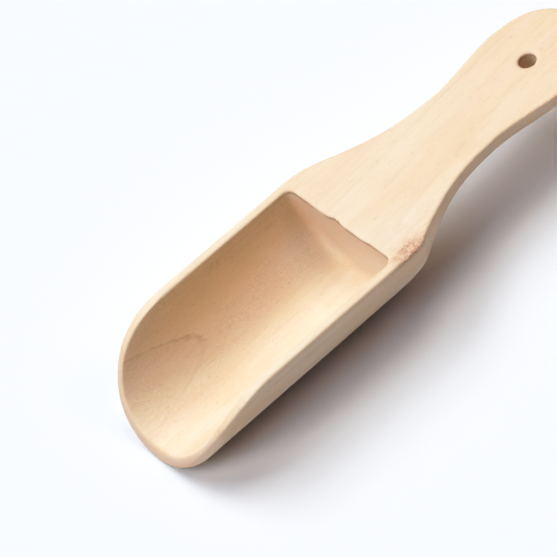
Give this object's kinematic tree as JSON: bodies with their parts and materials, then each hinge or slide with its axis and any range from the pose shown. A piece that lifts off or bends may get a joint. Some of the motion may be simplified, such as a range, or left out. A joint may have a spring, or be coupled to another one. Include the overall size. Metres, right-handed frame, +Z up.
{
  "type": "wooden scoop",
  "caption": "Small one-piece wooden scoop for tea or powder: a half-round trough with a sloping shovel lip, swept shoulders and a flat waisted handle with a hanging hole.",
  "frame": {"origin": "on the ground under the middle of the scoop's box, with the scoop standing on the flat under its bowl", "axes": "+X from the lip to the handle's end, +Y to the left when looking along +X, +Z up out of the hollow"},
  "size_m": [0.1, 0.03, 0.0136],
  "materials": {
    "wood": "sanded, bare satin wood"
  },
  "bodies": {
    "root": {"scoop": "wood"}
  },
  "joints": []
}
